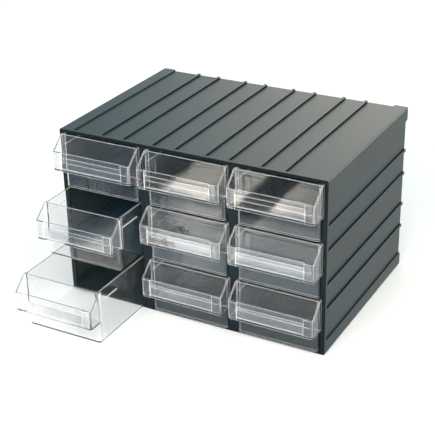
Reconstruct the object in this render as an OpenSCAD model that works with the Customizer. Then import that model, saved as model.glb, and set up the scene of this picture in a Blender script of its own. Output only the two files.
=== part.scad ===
// Small-parts organizer: a ribbed casing with three columns of clear drawers.
// Millimetres. X runs along the width, -Y is the front, +Z is up.
// The origin is the middle of the casing's underside.

/* [Casing] */
// Overall width of the casing
casing_w = 382; // [360:1:420]
// Overall depth of the casing, without the drawer fronts
casing_d = 268; // [260:1:320]
// Overall height of the casing
casing_h = 240; // [225:1:260]
// Thickness of the casing's skin
skin = 2.2; // [1.8:0.1:2.4]
// Height of the ribs and strips on the skin
rib_h = 2.2; // [1.4:0.1:2.4]
// Depth of the raised band round the front edge
band_d = 4; // [3:0.5:8]
// Radius of the casing's long outer edges
edge_r = 2; // [1:0.5:2]

/* [Ribs] */
// Width of a rib at its outer face
rib_top_w = 4.2; // [3:0.1:6]
// Undercut on each flank of a rib
rib_undercut = 0.5; // [0:0.1:0.8]
// Width of the smooth strip along each edge of the top
top_strip_w = 19; // [14:1:22]
// Distance between the middles of two neighbouring rib pairs on the top
top_pair_pitch = 76.4; // [70:0.1:78]
// Distance between the two ribs of a pair on the top
top_pair_gap = 32.4; // [24:0.1:38]
// Width of the smooth strip along each edge of a side
side_strip_w = 18.5; // [14:0.5:22]
// Distance between the middles of the two rib pairs on a side
side_pair_pitch = 80.6; // [74:0.1:84]
// Distance between the two ribs of a pair on a side
side_pair_gap = 34; // [28:0.1:40]

/* [Cells] */
// Width of the front post between two columns
post_w = 12; // [11:0.5:14]
// Depth of the posts and of the lips beside the outer columns
post_d = 3; // [2:0.5:4]
// Thickness of a partition behind its post
web_t = 3; // [2:0.2:4]
// Thickness of a shelf
shelf_t = 2.8; // [2.2:0.2:3.4]
// Height of the guides that keep a drawer straight
guide_h = 10; // [6:1:14]
// Thickness of the back panel
back_t = 2.5; // [2:0.5:4]

/* [Drawers] */
// Space between a closed drawer and the back panel
tub_back_gap = 15.5; // [10:0.5:30]
// Wall and floor thickness of a drawer
wall = 1.8; // [1.4:0.1:2.2]
// Radius of the tub's upright corners
tub_r = 5; // [3:0.5:8]
// Radius along the bottom edges of the tub
tub_bottom_r = 2.5; // [2.4:0.1:4]
// How far a closed drawer's front stands in front of the casing
front_proud = 5; // [4:0.5:7]
// Play between the tub and its cell on each side
side_play = 1.3; // [1.2:0.1:1.6]
// How far the front collar overlaps the post on each side
collar_lap = 1; // [0.8:0.1:1.2]
// Radius of the collar's two top corners
collar_r = 3; // [2:0.5:4]

/* [Hopper handle] */
// How far the hopper stands in front of the drawer's front wall
hopper_d = 22.5; // [18:0.5:24]
// Drop from the drawer's rim to the top of the handle bar
bar_drop = 16.8; // [15:0.1:22]
// Height of the handle bar
bar_h = 25.5; // [20:0.5:30]
// Thickness of the handle bar, label slot included
bar_t = 3.8; // [3.4:0.1:5]
// Radius of the hopper's two front corners
bar_r = 4; // [3:0.5:5]
// Width of the blocks that end the label slot
block_w = 12.5; // [8:0.5:16]
// Thickness of the lip in front of the label
lip_t = 1; // [0.8:0.1:1.2]
// Drop from the top of the bar to the top of the lip
lip_drop = 6; // [4:0.5:8]
// Width of the slot that takes the label card
slot_t = 1; // [0.8:0.1:1.2]
// Height of the ledge that the label card stands on
label_ledge_h = 3.6; // [2.4:0.2:5]

/* [Drawer positions] */
// How far the left drawer of the middle row is pulled out
pull_middle_left = 48; // [0:1:200]
// How far the left drawer of the bottom row is pulled out
pull_bottom_left = 104; // [0:1:200]

/* [Hidden] */
$fn = 48;

LEFT = 0;
CENTRE = 1;
RIGHT = 2;
BOTTOM = 0;
MIDDLE = 1;
TOP = 2;
COLUMNS = 3;
ROWS = 3;

casing_colour = [0.29, 0.33, 0.34];
inside_colour = [0.20, 0.24, 0.25];
clear_colour = [0.88, 0.92, 0.93, 0.4];

front_y = -casing_d / 2;
edge_t = skin + rib_h;
inner_w = casing_w - 2 * edge_t;
inner_h = casing_h - 2 * edge_t;
// How far a cut runs past a face, or a piece of a solid reaches into the next
overlap = 0.5;
graft = 0.1;

column_pitch = casing_w / COLUMNS;
opening_w = column_pitch - post_w;
cell_h = (inner_h - (ROWS - 1) * shelf_t) / ROWS;
row_pitch = cell_h + shelf_t;
// Width of the casing's own lips and ledges beside the outer columns
lip_w = post_w / 2 - edge_t;

// Rebate for the back panel, the gap round the panel and the depth of its sunk fields
rebate = 1;
back_gap = 0.1;
field_depth = 0.8;
// Play between a shelf and what holds it
slip = 0.15;
// Ledges that carry the shelves
ledge_h = 2;
ledge_inset = 0.3;
// How far shelves, guides and ledges stop short of the walls in front of and behind them
stop_short = 4;
ledge_l = casing_d - 2 * (post_d + stop_short);
// Round pad in the middle of the underside
pad_r = 12;

tub_l = casing_d - back_t - tub_back_gap + front_proud;
tub_w = opening_w - 2 * side_play;
collar_w = opening_w + 2 * collar_lap;
// Gaps below and above a drawer, and between its collar and the posts
lift = 0.4;
headroom = 0.6;
seat_gap = 0.3;
drawer_h = cell_h - lift - headroom;
bar_top = drawer_h - bar_drop;
bar_bottom = bar_top - bar_h;
// How far the label lip stands behind the blocks at its ends
lip_setback = 0.4;

// Snug ribs: length, height, thickness, drop below the rim and distance behind the front face
snug_l = 36;
snug_h = 1.2;
snug_t = 0.9;
snug_drop = 15;
snug_start = 6;

function column_x(col) = (col - (COLUMNS - 1) / 2) * column_pitch;
function cell_floor(row) = edge_t + row * row_pitch;
// Distance from a column's middle to the solid wall on its left (side = -1) or right (side = 1)
function cell_reach(col, side) =
    (col == LEFT && side < 0) || (col == RIGHT && side > 0)
        ? column_pitch / 2 - edge_t
        : column_pitch / 2 - web_t / 2;
function pull(row, col) =
    col != LEFT ? 0 : row == MIDDLE ? pull_middle_left : row == BOTTOM ? pull_bottom_left : 0;

// A block given by its low and high corners
module block(low, high) {
    translate(low) cube(high - low);
}

// A rectangle with round corners, centred on the origin
module round_rect(w, d, r) {
    square([w - 2 * r, d], center = true);
    square([w, d - 2 * r], center = true);
    for (x = [-1, 1], y = [-1, 1])
        translate([x * (w / 2 - r), y * (d / 2 - r)]) circle(r);
}

// Stretches an outline drawn in X and Z from one depth behind the front face to another
module run_back(from, to) {
    translate([0, front_y + to, 0]) rotate([90, 0, 0]) linear_extrude(to - from) children();
}

// ---------- casing ----------

// One undercut rib standing on the line y = 0
module rib_outline() {
    foot = rib_top_w / 2 - rib_undercut;
    polygon([
        [-foot, -overlap],
        [-foot, 0],
        [-rib_top_w / 2, rib_h],
        [rib_top_w / 2, rib_h],
        [foot, 0],
        [foot, -overlap]
    ]);
}

// The ribs of one face, centred, in pairs
module rib_row(pairs, pitch, gap) {
    for (i = [0 : pairs - 1], side = [-1, 1])
        translate([(i - (pairs - 1) / 2) * pitch + side * gap / 2, 0]) rib_outline();
}

module sleeve_outline() {
    square([casing_w - 2 * rib_h, casing_h - 2 * rib_h], center = true);
    for (x = [-1, 1], z = [-1, 1])
        intersection() {
            round_rect(casing_w, casing_h, edge_r);
            translate([x * casing_w / 2, z * casing_h / 2])
                square([2 * top_strip_w, 2 * side_strip_w], center = true);
        }
    for (turn = [0, 180])
        rotate(turn) {
            translate([0, casing_h / 2 - rib_h]) rib_row(4, top_pair_pitch, top_pair_gap);
            translate([casing_w / 2 - rib_h, 0]) rotate(-90) rib_row(2, side_pair_pitch, side_pair_gap);
        }
}

module inner_outline(grow = 0) {
    square([inner_w + 2 * grow, inner_h + 2 * grow], center = true);
}

// Side guides of one cell, standing on the given height
module guides(col, floor_z, play) {
    for (side = [-1, 1]) {
        reach = column_x(col) + side * (cell_reach(col, side) - play);
        edge = column_x(col) + side * opening_w / 2;
        block([min(reach, edge), front_y + post_d, floor_z - overlap],
              [max(reach, edge), -front_y - back_t - stop_short, floor_z + guide_h]);
    }
}

module casing() {
    color(casing_colour) {
        translate([0, 0, casing_h / 2]) {
            difference() {
                union() {
                    run_back(0, casing_d) sleeve_outline();
                    run_back(0, band_d) round_rect(casing_w, casing_h, edge_r);
                }
                run_back(-overlap, casing_d + overlap) inner_outline();
                run_back(casing_d - back_t, casing_d + overlap) inner_outline(rebate);
            }
        }
        // lips beside the outer columns, where the drawer collars land
        for (side = [-1, 1])
            translate([side * (inner_w / 2 - lip_w / 2), front_y + post_d / 2, casing_h / 2])
                cube([lip_w + graft, post_d, inner_h + graft], center = true);
        for (col = [LEFT : RIGHT]) guides(col, edge_t, 0);
        // ledges under the outer shelves
        for (side = [-1, 1], row = [MIDDLE, TOP])
            translate([side * (inner_w / 2 - lip_w / 2), 0, cell_floor(row) - shelf_t - ledge_h / 2])
                cube([lip_w + graft, ledge_l, ledge_h], center = true);
        // round pad in the middle of the underside
        cylinder(r = pad_r, h = rib_h + overlap);
    }
}

// ---------- back panel ----------

module back_panel() {
    color(casing_colour)
        translate([0, 0, casing_h / 2])
            difference() {
                run_back(casing_d - back_t, casing_d) inner_outline(rebate - back_gap);
                // three sunk fields, one behind each column
                for (col = [LEFT : RIGHT])
                    translate([column_x(col), 0])
                        run_back(casing_d - field_depth, casing_d + overlap)
                            round_rect(opening_w - post_w, inner_h - 2 * post_w, tub_r);
            }
}

// ---------- partitions ----------

module partition(side) {
    x = side * column_pitch / 2;
    back_y = -front_y - back_t;
    color(inside_colour) {
        block([x - web_t / 2, front_y + post_d - overlap, edge_t],
              [x + web_t / 2, back_y, casing_h - edge_t]);
        block([x - post_w / 2, front_y, edge_t],
              [x + post_w / 2, front_y + post_d, casing_h - edge_t]);
        for (row = [MIDDLE, TOP])
            translate([x, 0, cell_floor(row) - shelf_t - ledge_h / 2])
                cube([post_w - 2 * ledge_inset, ledge_l, ledge_h], center = true);
    }
}

// ---------- shelves ----------

module shelf(row, col) {
    x = column_x(col);
    top_z = cell_floor(row);
    left = x - cell_reach(col, -1) + slip;
    right = x + cell_reach(col, 1) - slip;
    tongue = opening_w / 2 - slip;
    back_y = -front_y - back_t - stop_short;
    color(inside_colour) {
        block([left, front_y + post_d + slip, top_z - shelf_t], [right, back_y, top_z]);
        block([x - tongue, front_y, top_z - shelf_t], [x + tongue, front_y + post_d + 2 * slip, top_z]);
        intersection() {
            guides(col, top_z, slip);
            block([left, front_y + post_d + slip, top_z - shelf_t], [right, back_y, top_z + guide_h]);
        }
    }
}

// ---------- drawers ----------

// Outline of the tub seen from above, with its front face at y = -front_proud
module tub_outline(inset = 0) {
    translate([0, tub_l / 2 - front_proud])
        round_rect(tub_w - 2 * inset, tub_l - 2 * inset, tub_r - inset);
}

// The tub's cross-section seen from the front, round along its bottom edges
module tub_section(inset = 0) {
    r = tub_bottom_r - inset;
    w = tub_w - 2 * inset;
    translate([0, drawer_h / 2 + inset]) {
        round_rect(w, drawer_h, r);
        translate([0, drawer_h / 4]) square([w, drawer_h / 2], center = true);
    }
}

// Stretches an outline drawn in X and Z along a drawer, whose local y = 0 is the casing's front
module along_y(from, to) {
    translate([0, to, 0]) rotate([90, 0, 0]) linear_extrude(to - from) children();
}

// The tub as a solid block; with the wall thickness as its inset it is the hollow, open above
module tub_body(inset = 0) {
    intersection() {
        linear_extrude(drawer_h + inset) tub_outline(inset);
        along_y(-front_proud, tub_l) tub_section(inset);
    }
}

// The collar round the upper front, which stops the drawer against the posts
module collar() {
    intersection() {
        block([-collar_w / 2, -front_proud, bar_bottom], [collar_w / 2, -seat_gap, drawer_h]);
        along_y(-front_proud, 0)
            translate([0, drawer_h - collar_w / 2]) round_rect(collar_w, collar_w, collar_r);
    }
}

// Outline of the hopper seen from above, round at its two front corners
module hopper_outline() {
    d = hopper_d + front_proud - seat_gap;
    translate([0, -seat_gap - d / 2]) {
        round_rect(collar_w, d, bar_r);
        translate([0, d / 4]) square([collar_w, d / 2], center = true);
    }
}

// Side view of the hopper: floor, upright bar and the slope up to the rim
module hopper_side() {
    front = -front_proud - hopper_d;
    rotate([90, 0, 90])
        linear_extrude(collar_w, center = true)
            polygon([
                [-seat_gap, bar_bottom],
                [front, bar_bottom],
                [front, bar_top],
                [front + bar_t, bar_top],
                [-front_proud, drawer_h - overlap],
                [-seat_gap, drawer_h - overlap]
            ]);
}

module hopper() {
    front = -front_proud - hopper_d;
    card_w = collar_w - 2 * block_w;
    card_bottom = bar_bottom + label_ledge_h;
    difference() {
        intersection() {
            translate([0, 0, bar_bottom]) linear_extrude(drawer_h - bar_bottom) hopper_outline();
            hopper_side();
        }
        // the pocket behind the bar
        block([-collar_w / 2 + wall, front + bar_t, bar_bottom + wall],
              [collar_w / 2 - wall, -front_proud + overlap, drawer_h + overlap]);
        // the slot for the label card, open above the lip
        block([-card_w / 2, front + lip_t, card_bottom],
              [card_w / 2, front + lip_t + slot_t, bar_top + overlap]);
        block([-card_w / 2, front - overlap, bar_top - lip_drop],
              [card_w / 2, front + lip_t + slot_t, bar_top + overlap]);
        // the card's lip and the strip below it stand a little behind the end blocks
        block([-card_w / 2, front - overlap, bar_bottom - overlap],
              [card_w / 2, front + lip_setback, bar_top + overlap]);
    }
}

// Short ribs on both flanks that keep a closed drawer snug between the posts
module snug_ribs() {
    for (side = [-1, 1])
        translate([side * tub_w / 2, snug_start - front_proud + snug_l / 2, drawer_h - snug_drop])
            cube([2 * snug_t, snug_l, snug_h], center = true);
}

module drawer(row, col) {
    color(clear_colour)
        translate([column_x(col), front_y - pull(row, col), cell_floor(row) + lift])
            difference() {
                union() {
                    tub_body();
                    collar();
                    hopper();
                    snug_ribs();
                }
                tub_body(wall);
            }
}

casing();
back_panel();
partition(-1);  // left_partition
partition(1);  // right_partition
shelf(TOP, LEFT);  // shelf_upper_left
shelf(TOP, CENTRE);  // shelf_upper_centre
shelf(TOP, RIGHT);  // shelf_upper_right
shelf(MIDDLE, LEFT);  // shelf_lower_left
shelf(MIDDLE, CENTRE);  // shelf_lower_centre
shelf(MIDDLE, RIGHT);  // shelf_lower_right
drawer(TOP, LEFT);  // drawer_top_left
drawer(TOP, CENTRE);  // drawer_top_centre
drawer(TOP, RIGHT);  // drawer_top_right
drawer(MIDDLE, LEFT);  // drawer_middle_left
drawer(MIDDLE, CENTRE);  // drawer_middle_centre
drawer(MIDDLE, RIGHT);  // drawer_middle_right
drawer(BOTTOM, LEFT);  // drawer_bottom_left
drawer(BOTTOM, CENTRE);  // drawer_bottom_centre
drawer(BOTTOM, RIGHT);  // drawer_bottom_right
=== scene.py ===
"""Small-parts organizer: the looks of a ribbed casing with nine clear drawers."""

import math

import bpy
from bpy.props import FloatProperty, FloatVectorProperty, PointerProperty, StringProperty
from mathutils import Matrix, Vector


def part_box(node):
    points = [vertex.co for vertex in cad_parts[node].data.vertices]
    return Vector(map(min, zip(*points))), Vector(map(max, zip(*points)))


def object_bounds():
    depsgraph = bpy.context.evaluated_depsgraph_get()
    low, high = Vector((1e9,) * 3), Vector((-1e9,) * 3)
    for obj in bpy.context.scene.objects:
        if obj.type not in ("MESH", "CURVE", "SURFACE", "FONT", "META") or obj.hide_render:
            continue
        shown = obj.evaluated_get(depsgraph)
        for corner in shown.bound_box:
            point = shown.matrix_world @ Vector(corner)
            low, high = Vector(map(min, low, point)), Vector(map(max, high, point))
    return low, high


bl_info = {
    "name": "Small-parts organizer",
    "version": (1, 0, 0),
    "blender": (4, 5, 0),
    "location": "View3D > Sidebar > Organizer",
    "description": "Finishes the casing and its cells, makes the clear drawers and sets up the stage",
    "category": "Object",
}

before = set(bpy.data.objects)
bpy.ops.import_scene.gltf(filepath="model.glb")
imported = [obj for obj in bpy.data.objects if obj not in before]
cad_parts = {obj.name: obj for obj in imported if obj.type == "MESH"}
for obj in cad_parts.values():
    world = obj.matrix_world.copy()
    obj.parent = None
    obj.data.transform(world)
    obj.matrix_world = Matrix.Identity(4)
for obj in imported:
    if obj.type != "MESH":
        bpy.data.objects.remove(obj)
CAD_BOX = [list(corner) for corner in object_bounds()]
MM = 0.001
SENSOR_MM = 36.0
WHITE = (1.0, 1.0, 1.0, 1.0)
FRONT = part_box("casing")[0].y

# polystyrene's refractive index, and the level that gives a plastic its full reflection
IOR_POLYSTYRENE = 1.59
FULL_SHINE = 0.5

# painted reflection: what the floor shows in reflections, as linear colours that may be brighter than white
PAINTED_REFLECTION_FRONT = (0.30, 0.40, 0.47, 1.0)
PAINTED_REFLECTION_BACK = (0.66, 0.68, 0.66, 1.0)
PAINTED_REFLECTION_DARK = (0.02, 0.02, 0.02, 1.0)
PAINTED_REFLECTION_COOL = (3.0, 3.1, 3.1, 1.0)
PAINTED_REFLECTION_WARM = (3.1, 2.95, 2.65, 1.0)
PAINTED_REFLECTION_PALE = (1.3, 1.25, 1.25, 1.0)
# the painted reflection's bright patches, their level along y: from FAR_END to NEAR_END as 0 to 1
FAR_END, NEAR_END = -0.6, -0.1
END_LEVEL = 0.6
LEVELS = ((0.02, 1.35), (0.13, 1.35), (0.16, 0.2), (0.28, 0.2), (0.31, 0.8), (0.38, 0.8),
          (0.40, 1.5), (0.47, 1.5), (0.50, 0.45), (0.59, 0.45), (0.62, 0.8), (0.68, 0.8),
          (0.70, 1.0), (0.75, 1.0), (0.78, 0.5))
# two dark bands painted into the reflection: where each begins and ends along x
PAINTED_DARK_BANDS = ((-0.33, -0.305, -0.26, -0.245), (-0.12, -0.105, -0.06, -0.045))

# the room's light, as linear colours
DARK_END = (0.32, 0.55, 0.64, 1.0)
ROOM = (0.92, 0.98, 0.96, 1.0)
HORIZON = (4.4, 4.1, 3.6, 1.0)

ROWS = ("top", "middle", "bottom")
COLUMNS = ("left", "centre", "right")
CASING_NODES = ("casing", "back_panel")
CELL_NODES = tuple(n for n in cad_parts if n.endswith("partition") or n.startswith("shelf"))
DRAWER_NODES = tuple(f"drawer_{row}_{column}" for row in ROWS for column in COLUMNS)


# ---------- nodes and colours ----------

def linear(hex_colour):
    """An sRGB hex colour such as "#2a3132" as linear RGBA."""
    value = hex_colour.lstrip("#")
    channels = [int(value[i:i + 2], 16) / 255 for i in (0, 2, 4)]
    return [c / 12.92 if c <= 0.04045 else ((c + 0.055) / 1.055) ** 2.4 for c in channels] + [1.0]


def add_node(tree, kind, settings=None, inputs=None):
    """Adds one node, sets its properties, and sets or links its inputs."""
    node = tree.nodes.new(kind)
    for name, value in (settings or {}).items():
        setattr(node, name, value)
    for name, value in (inputs or {}).items():
        if isinstance(value, bpy.types.NodeSocket):
            tree.links.new(value, node.inputs[name])
        else:
            node.inputs[name].default_value = value
    return node


def new_material(name):
    """An empty node material and its tree."""
    material = bpy.data.materials.new(name)
    material.use_nodes = True
    material.node_tree.nodes.clear()
    return material, material.node_tree


def moulded_polystyrene(name, colour, roughness, edge):
    """High-impact polystyrene moulded in a spark-eroded tool, satin with a fine even grain.

    The tool's edges are broken, so the shading turns softly round every corner."""
    material, tree = new_material(name)
    place = add_node(tree, "ShaderNodeTexCoord").outputs["Object"]
    # flow of the melt: soft clouds about 70 mm across, up to an eighth lighter and darker
    clouds = add_node(tree, "ShaderNodeTexNoise", None,
                      {"Vector": place, "Scale": 1 / (70 * MM), "Detail": 3.0, "Roughness": 0.5})
    shade = add_node(tree, "ShaderNodeValToRGB", None, {"Fac": clouds.outputs["Fac"]})
    tone = linear(colour)
    for stop, (position, level) in zip(shade.color_ramp.elements, ((0.3, 0.88), (0.7, 1.12))):
        stop.position = position
        stop.color = [c * level for c in tone[:3]] + [1.0]
    # spark grain is 0.1 mm; drawn 0.9 mm wide so that it shows
    grain = add_node(tree, "ShaderNodeTexNoise", None,
                     {"Vector": place, "Scale": 1 / (0.9 * MM), "Detail": 2.0, "Roughness": 0.6})
    gloss = add_node(tree, "ShaderNodeMapRange", None,
                     {"Value": grain.outputs["Fac"], "From Min": 0.3, "From Max": 0.7,
                      "To Min": roughness - 0.05, "To Max": roughness + 0.05})
    rounded = add_node(tree, "ShaderNodeBevel", {"samples": 6}, {"Radius": edge * MM})
    bump = add_node(tree, "ShaderNodeBump", None,
                    {"Height": grain.outputs["Fac"], "Strength": 0.25, "Distance": 0.05 * MM,
                     "Normal": rounded.outputs["Normal"]})
    # painted shade: the forward faces of the frame round the cells, its first 8 mm, are made darker and
    # duller than the long faces, standing in for the shade that falls there
    way = add_node(tree, "ShaderNodeNewGeometry").outputs["Normal"]
    forward = add_node(tree, "ShaderNodeSeparateXYZ", None, {"Vector": way}).outputs["Y"]
    along = add_node(tree, "ShaderNodeSeparateXYZ", None, {"Vector": place}).outputs["Y"]
    front_shade_mask = times(tree, soft_step(tree, forward, -0.9, -0.99),
                soft_step(tree, along, FRONT + 9 * MM, FRONT + 7 * MM))
    shine_dimmed_in_front = add_node(tree, "ShaderNodeMapRange", None, {"Value": front_shade_mask, "To Min": FULL_SHINE, "To Max": 0.12})
    # painted shade: on those forward faces the base colour goes three quarters of the way to near black
    body_with_front_shade = colour_mix(tree, times(tree, front_shade_mask, 0.75), shade.outputs["Color"], (0.004, 0.005, 0.005, 1.0))
    # hardly any light gets into the corners within 3 mm of the ribs
    corner = add_node(tree, "ShaderNodeAmbientOcclusion", {"samples": 8}, {"Distance": 3 * MM})
    reach = soft_step(tree, corner.outputs["AO"], 0.5, 0.9)
    shader = add_node(tree, "ShaderNodeBsdfPrincipled", None,
                      {"Base Color": body_with_front_shade, "Roughness": gloss.outputs["Result"],
                       "IOR": IOR_POLYSTYRENE,
                       "Specular IOR Level": times(tree, shine_dimmed_in_front.outputs["Result"], reach),
                       "Normal": bump.outputs["Normal"]})
    add_node(tree, "ShaderNodeOutputMaterial", None, {"Surface": shader.outputs["BSDF"]})
    return material


def clear_polystyrene(name, colour, roughness, edge):
    """General-purpose polystyrene moulded in a polished tool: clear as glass, with a faint waviness.

    Light carried along inside the walls leaves at the edges, which scatter it and look white."""
    material, tree = new_material(name)
    place = add_node(tree, "ShaderNodeTexCoord").outputs["Object"]
    # shrinkage leaves the faces slightly wavy, about 18 mm from crest to crest
    waves = add_node(tree, "ShaderNodeTexNoise", None,
                     {"Vector": place, "Scale": 1 / (18 * MM), "Detail": 1.0})
    bump = add_node(tree, "ShaderNodeBump", None,
                    {"Height": waves.outputs["Fac"], "Strength": 0.2, "Distance": 0.3 * MM})
    # handling haze in patches of about 40 mm
    haze = add_node(tree, "ShaderNodeTexNoise", None,
                    {"Vector": place, "Scale": 1 / (40 * MM), "Detail": 4.0})
    gloss = add_node(tree, "ShaderNodeMapRange", None,
                     {"Value": haze.outputs["Fac"], "From Min": 0.4, "From Max": 0.75,
                      "To Min": roughness, "To Max": roughness * 2.5})
    # the edges: where a normal averaged over the edge's width leaves the face's own normal
    rounded = add_node(tree, "ShaderNodeBevel", {"samples": 8}, {"Radius": edge * MM})
    own = add_node(tree, "ShaderNodeNewGeometry")
    match = add_node(tree, "ShaderNodeVectorMath", {"operation": "DOT_PRODUCT"},
                     {0: rounded.outputs["Normal"], 1: own.outputs["Normal"]})
    clear = add_node(tree, "ShaderNodeMapRange", None,
                     {"Value": match.outputs["Value"], "From Min": 0.8, "From Max": 0.99,
                      "To Min": 0.1, "To Max": 0.996})
    shader = add_node(tree, "ShaderNodeBsdfPrincipled", None,
                      {"Base Color": linear(colour), "Roughness": gloss.outputs["Result"],
                       "IOR": IOR_POLYSTYRENE, "Transmission Weight": clear.outputs["Result"],
                       "Normal": bump.outputs["Normal"]})
    # thin clear walls let lamp light straight through, so they cast hardly any shadow
    lamps = add_node(tree, "ShaderNodeLightPath").outputs["Is Shadow Ray"]
    passed = add_node(tree, "ShaderNodeBsdfTransparent", None, {"Color": linear("#fafcfc")})
    both = add_node(tree, "ShaderNodeMixShader", None, {"Fac": lamps})
    tree.links.new(shader.outputs["BSDF"], both.inputs[1])
    tree.links.new(passed.outputs["BSDF"], both.inputs[2])
    add_node(tree, "ShaderNodeOutputMaterial", None, {"Surface": both.outputs["Shader"]})
    return material


def soft_step(tree, value, start, end):
    """Rises smoothly from 0 at start to 1 at end; start may be the larger of the two."""
    return add_node(tree, "ShaderNodeMapRange", {"interpolation_type": "SMOOTHSTEP"},
                    {"Value": value, "From Min": start, "From Max": end}).outputs["Result"]


def times(tree, first, second):
    """The product of two values or sockets."""
    return add_node(tree, "ShaderNodeMath", {"operation": "MULTIPLY"}, {0: first, 1: second}).outputs["Value"]


def colour_mix(tree, share, low, high):
    """Mixes two linear colours or sockets; share 1 gives high."""
    mix = add_node(tree, "ShaderNodeMix", {"data_type": "RGBA"}, {"Factor": share})
    for socket, colour in ((mix.inputs[6], low), (mix.inputs[7], high)):
        if isinstance(colour, bpy.types.NodeSocket):
            tree.links.new(colour, socket)
        else:
            socket.default_value = colour
    return mix.outputs[2]


def paper_with_painted_reflection(name, colour):
    """Matte white studio paper with a barely visible fibre.

    In reflections it shows a painted reflection instead, given as emission: blue-grey and grey ground, bright
    cool and warm patches and two dark bands."""
    material, tree = new_material(name)
    place = add_node(tree, "ShaderNodeTexCoord").outputs["Object"]
    # paper fibre is 0.05 mm thick; drawn as 6 mm clouds a fraction of a percent apart
    fibre = add_node(tree, "ShaderNodeTexNoise", None,
                     {"Vector": place, "Scale": 1 / (6 * MM), "Detail": 3.0})
    tone = linear(colour)
    shade = add_node(tree, "ShaderNodeValToRGB", None, {"Fac": fibre.outputs["Fac"]})
    shade.color_ramp.elements[0].color = [c * 0.985 for c in tone[:3]] + [1.0]
    shade.color_ramp.elements[1].color = tone
    paper = add_node(tree, "ShaderNodeBsdfPrincipled", None,
                     {"Base Color": shade.outputs["Color"], "Roughness": 0.9, "IOR": 1.45})
    x, y, _ = add_node(tree, "ShaderNodeSeparateXYZ", None, {"Vector": place}).outputs
    # painted reflection: blue-grey in front of the object, grey behind it
    ground = colour_mix(tree, soft_step(tree, y, -0.3, 0.1), PAINTED_REFLECTION_FRONT, PAINTED_REFLECTION_BACK)
    # painted reflection: bright patches one behind the other, cool ones towards the object and warm ones far
    away = add_node(tree, "ShaderNodeMapRange", None, {"Value": y, "From Min": FAR_END, "From Max": NEAR_END})
    profile = add_node(tree, "ShaderNodeValToRGB", None, {"Fac": away.outputs["Result"]})
    stops = profile.color_ramp.elements
    stops[0].color = stops[1].color = (END_LEVEL, END_LEVEL, END_LEVEL, 1.0)
    for position, level in LEVELS:
        stops.new(position).color = (level, level, level, 1.0)
    # they fade out in depth, along a slanting edge on the left, at the far left, and towards the right
    depth = times(tree, soft_step(tree, y, -0.70, -0.60), soft_step(tree, y, -0.10, -0.42))
    slant = add_node(tree, "ShaderNodeMath", {"operation": "MULTIPLY_ADD"}, {0: y, 1: -0.57, 2: x})
    left = add_node(tree, "ShaderNodeMapRange", {"interpolation_type": "SMOOTHSTEP"},
                    {"Value": slant.outputs["Value"], "From Min": 0.03, "From Max": 0.09,
                     "To Min": 0.35, "To Max": 1.0})
    right = add_node(tree, "ShaderNodeMapRange", {"interpolation_type": "SMOOTHSTEP"},
                     {"Value": x, "From Min": -0.075, "From Max": -0.01, "To Min": 1.0, "To Max": 0.48})
    lit = times(tree, times(tree, depth, left.outputs["Result"]), soft_step(tree, x, -0.29, -0.22))
    lit = times(tree, lit, times(tree, right.outputs["Result"], profile.outputs["Color"]))
    patch_colour = colour_mix(tree, soft_step(tree, y, -0.38, -0.45), PAINTED_REFLECTION_COOL, PAINTED_REFLECTION_WARM)
    painted_reflection = colour_mix(tree, lit, ground, patch_colour)
    # two painted dark bands lie across the far patches
    first, second = (times(tree, soft_step(tree, x, start, full), soft_step(tree, x, end, fade))
                     for start, full, fade, end in PAINTED_DARK_BANDS)
    both_dark_bands = add_node(tree, "ShaderNodeMath", {"operation": "ADD"}, {0: first, 1: second})
    dark_band_share = times(tree, soft_step(tree, y, -0.36, -0.47), both_dark_bands.outputs["Value"])
    painted_reflection = colour_mix(tree, dark_band_share, painted_reflection, PAINTED_REFLECTION_DARK)
    # a pale painted patch lies under the open drawers on the left
    near = times(tree, soft_step(tree, y, -0.35, -0.32), soft_step(tree, x, -0.12, -0.16))
    painted_reflection = colour_mix(tree, near, painted_reflection, PAINTED_REFLECTION_PALE)
    # the painted reflection glows as emission and is shown only to reflected rays
    mirrored = add_node(tree, "ShaderNodeEmission", None, {"Color": painted_reflection})
    reflected = add_node(tree, "ShaderNodeLightPath").outputs["Glossy Depth"]
    both = add_node(tree, "ShaderNodeMixShader", None, {"Fac": reflected})
    tree.links.new(paper.outputs["BSDF"], both.inputs[1])
    tree.links.new(mirrored.outputs["Emission"], both.inputs[2])
    add_node(tree, "ShaderNodeOutputMaterial", None, {"Surface": both.outputs["Shader"]})
    material.cycles.emission_sampling = "NONE"
    return material


# ---------- pieces ----------

def dress(node, material):
    """Gives a CAD node its one material."""
    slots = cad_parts[node].data.materials
    slots.clear()
    slots.append(material)


# ---------- settings ----------

class OrganizerCasing(bpy.types.PropertyGroup):
    """Finish of the casing and its cells"""

    colour: StringProperty(name="Casing colour", description="sRGB hex colour of the casing",
                           default="#17262a")
    # painted light: the cells' colour is lighter and bluer than the casing's, standing in for light that gets
    # inside the cells
    inside: StringProperty(name="Cell colour", description="sRGB hex colour inside the cells",
                           default="#1d3643")
    roughness: FloatProperty(name="Roughness", description="Roughness of the satin faces",
                             default=0.4, min=0.1, max=0.9)
    edge: FloatProperty(name="Edge radius", description="Radius of the moulded edges, in millimetres",
                        default=0.15, min=0.1, max=1.0)


class OrganizerDrawers(bpy.types.PropertyGroup):
    """Finish of the clear drawers"""

    colour: StringProperty(name="Tint", description="sRGB hex tint of the clear plastic", default="#fffefe")
    roughness: FloatProperty(name="Roughness", description="Roughness of the polished faces",
                             default=0.02, min=0.0, max=0.3)
    edge: FloatProperty(name="Edge width", description="Width of the bright edges, in millimetres",
                        default=0.95, min=0.2, max=2.0)


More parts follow.
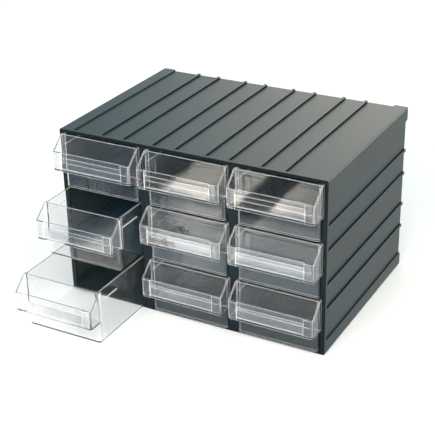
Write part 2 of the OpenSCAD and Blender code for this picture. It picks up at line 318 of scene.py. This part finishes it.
class OrganizerStage(bpy.types.PropertyGroup):
    """Floor, lights and camera"""

    floor: StringProperty(name="Floor colour", description="sRGB hex colour of the paper floor",
                          default="#f8f8f8")
    floor_size: FloatProperty(name="Floor size", description="Side of the square floor", unit="LENGTH",
                              default=12.0)
    world: FloatProperty(name="Studio strength", description="Brightness of the light from all round",
                         default=1.0)
    key_place: FloatVectorProperty(name="Key place", description="Where the soft box hangs", subtype="XYZ",
                                   unit="LENGTH", size=3, default=(0.3, -1.9, 1.25))
    key_size: FloatProperty(name="Key size", description="Side of the square soft box", unit="LENGTH",
                            default=1.4)
    key_power: FloatProperty(name="Key power", description="Power of the soft box", unit="POWER",
                             default=30.0)
    azimuth: FloatProperty(name="Azimuth", description="Camera direction round the object, from the front",
                           subtype="ANGLE", default=math.radians(28.97))
    elevation: FloatProperty(name="Elevation", description="Camera height above the horizon",
                             subtype="ANGLE", default=math.radians(26.29))
    tilt: FloatProperty(name="Tilt", description="Camera roll", subtype="ANGLE", default=math.radians(-1.26))
    distance: FloatProperty(name="Distance", description="Camera distance from the point it looks at",
                            unit="LENGTH", default=1.5577)
    aim: FloatVectorProperty(name="Aim", description="The point the camera looks at", subtype="XYZ",
                             unit="LENGTH", size=3, default=(-0.0192, -0.0229, 0.0981))
    lens: FloatProperty(name="Lens", description="Focal length in millimetres on a 36 mm sensor",
                        default=93.87)


# ---------- operators ----------

class ORGANIZER_OT_casing(bpy.types.Operator):
    """Finish the casing and the back panel"""

    bl_idname = "organizer.casing"
    bl_label = "Casing"

    def execute(self, context):
        settings = context.scene.organizer_casing
        satin = moulded_polystyrene("satin_polystyrene_casing", settings.colour, settings.roughness,
                                    settings.edge)
        for node in CASING_NODES:
            dress(node, satin)
        return {"FINISHED"}


class ORGANIZER_OT_cells(bpy.types.Operator):
    """Finish the partitions and shelves"""

    bl_idname = "organizer.cells"
    bl_label = "Cells"

    def execute(self, context):
        settings = context.scene.organizer_casing
        # painted light: partitions and shelves take the lightened cell colour instead of the casing's
        satin = moulded_polystyrene("satin_polystyrene_cells_painted_light", settings.inside, settings.roughness,
                                    settings.edge)
        for node in CELL_NODES:
            dress(node, satin)
        return {"FINISHED"}


class ORGANIZER_OT_drawers(bpy.types.Operator):
    """Finish the nine clear drawers"""

    bl_idname = "organizer.drawers"
    bl_label = "Drawers"

    def execute(self, context):
        settings = context.scene.organizer_drawers
        clear = clear_polystyrene("clear_polystyrene", settings.colour, settings.roughness, settings.edge)
        for node in DRAWER_NODES:
            dress(node, clear)
        return {"FINISHED"}


class ORGANIZER_OT_stage(bpy.types.Operator):
    """Make the floor, the studio lights and the camera"""

    bl_idname = "organizer.stage"
    bl_label = "Stage"

    def execute(self, context):
        settings = context.scene.organizer_stage
        self.floor(context, settings)
        self.lights(context, settings)
        self.camera(context, settings)
        return {"FINISHED"}

    def floor(self, context, settings):
        half = settings.floor_size / 2
        mesh = bpy.data.meshes.new("floor")
        mesh.from_pydata([(-half, -half, 0), (half, -half, 0), (half, half, 0), (-half, half, 0)],
                         [], [(0, 1, 2, 3)])
        floor = bpy.data.objects.new("floor", mesh)
        # a hair below the object, so that the two don't share a face
        floor.location.z = CAD_BOX[0][2] - 0.2 * MM
        floor.data.materials.append(paper_with_painted_reflection("studio_paper_painted_reflection", settings.floor))
        context.scene.collection.objects.link(floor)

    def lights(self, context, settings):
        world = bpy.data.worlds.new("studio")
        context.scene.world = world
        world.use_nodes = True
        tree = world.node_tree
        tree.nodes.clear()
        way = add_node(tree, "ShaderNodeTexCoord").outputs["Generated"]
        x, _, z = add_node(tree, "ShaderNodeSeparateXYZ", None, {"Vector": way}).outputs
        # the room is white, with one dark blue-green end to the left of the object
        room = colour_mix(tree, soft_step(tree, x, -0.62, -0.3), DARK_END, ROOM)
        # it is brightest towards the horizon
        low = times(tree, soft_step(tree, x, -0.55, -0.35), soft_step(tree, z, 0.405, 0.265))
        room = colour_mix(tree, low, room, HORIZON)
        # seen directly, the room is the same white as the paper
        seen = add_node(tree, "ShaderNodeLightPath").outputs["Is Camera Ray"]
        room = colour_mix(tree, seen, room, WHITE)
        light = add_node(tree, "ShaderNodeBackground", None,
                         {"Color": room, "Strength": settings.world})
        add_node(tree, "ShaderNodeOutputWorld", None, {"Surface": light.outputs["Background"]})
        # one soft box in front of the object and above it, aimed at its middle
        data = bpy.data.lights.new("key_softbox", "AREA")
        data.size = settings.key_size
        data.energy = settings.key_power
        lamp = bpy.data.objects.new("key_softbox", data)
        lamp.location = settings.key_place
        aim = Vector((0.0, 0.0, (CAD_BOX[0][2] + CAD_BOX[1][2]) / 2)) - lamp.location
        lamp.rotation_euler = aim.to_track_quat("-Z", "Y").to_euler()
        context.scene.collection.objects.link(lamp)

    def camera(self, context, settings):
        az, el = settings.azimuth, settings.elevation
        back = Vector((math.sin(az) * math.cos(el), -math.cos(az) * math.cos(el), math.sin(el)))
        right = Vector((math.cos(az), math.sin(az), 0.0))
        up = back.cross(right)
        roll = settings.tilt
        side = right * math.cos(roll) + up * math.sin(roll)
        rise = up * math.cos(roll) - right * math.sin(roll)
        place = Vector(settings.aim) + back * settings.distance
        data = bpy.data.cameras.new("camera")
        data.sensor_width = SENSOR_MM
        data.lens = settings.lens
        data.clip_end = 50.0  # well beyond the floor's far edge
        camera = bpy.data.objects.new("camera", data)
        turn = Matrix((side, rise, back)).transposed().to_4x4()
        camera.matrix_world = Matrix.Translation(place) @ turn
        context.scene.collection.objects.link(camera)
        context.scene.camera = camera
        context.scene.view_settings.view_transform = "Standard"


class VIEW3D_PT_organizer(bpy.types.Panel):
    """Lists the pieces of the organizer and their settings"""

    bl_idname = "VIEW3D_PT_organizer"
    bl_label = "Organizer"
    bl_space_type = "VIEW_3D"
    bl_region_type = "UI"
    bl_category = "Organizer"

    def draw(self, context):
        layout = self.layout
        scene = context.scene
        for title, group, operators in (
                ("Casing and cells", scene.organizer_casing, (ORGANIZER_OT_casing, ORGANIZER_OT_cells)),
                ("Drawers", scene.organizer_drawers, (ORGANIZER_OT_drawers,)),
                ("Stage", scene.organizer_stage, (ORGANIZER_OT_stage,)),
        ):
            box = layout.box()
            box.label(text=title)
            for name in group.bl_rna.properties.keys():
                if name not in ("rna_type", "name"):
                    box.prop(group, name)
            for operator in operators:
                box.operator(operator.bl_idname)


GROUPS = {
    "organizer_casing": OrganizerCasing,
    "organizer_drawers": OrganizerDrawers,
    "organizer_stage": OrganizerStage,
}
CLASSES = (*GROUPS.values(), ORGANIZER_OT_casing, ORGANIZER_OT_cells, ORGANIZER_OT_drawers,
           ORGANIZER_OT_stage, VIEW3D_PT_organizer)


def register():
    for cls in CLASSES:
        bpy.utils.register_class(cls)
    for name, group in GROUPS.items():
        setattr(bpy.types.Scene, name, PointerProperty(type=group))


def unregister():
    for name in GROUPS:
        delattr(bpy.types.Scene, name)
    for cls in reversed(CLASSES):
        bpy.utils.unregister_class(cls)


def main():
    register()
    bpy.ops.organizer.stage()
    bpy.ops.organizer.casing()
    bpy.ops.organizer.cells()
    bpy.ops.organizer.drawers()


if __name__ == "__main__":
    main()
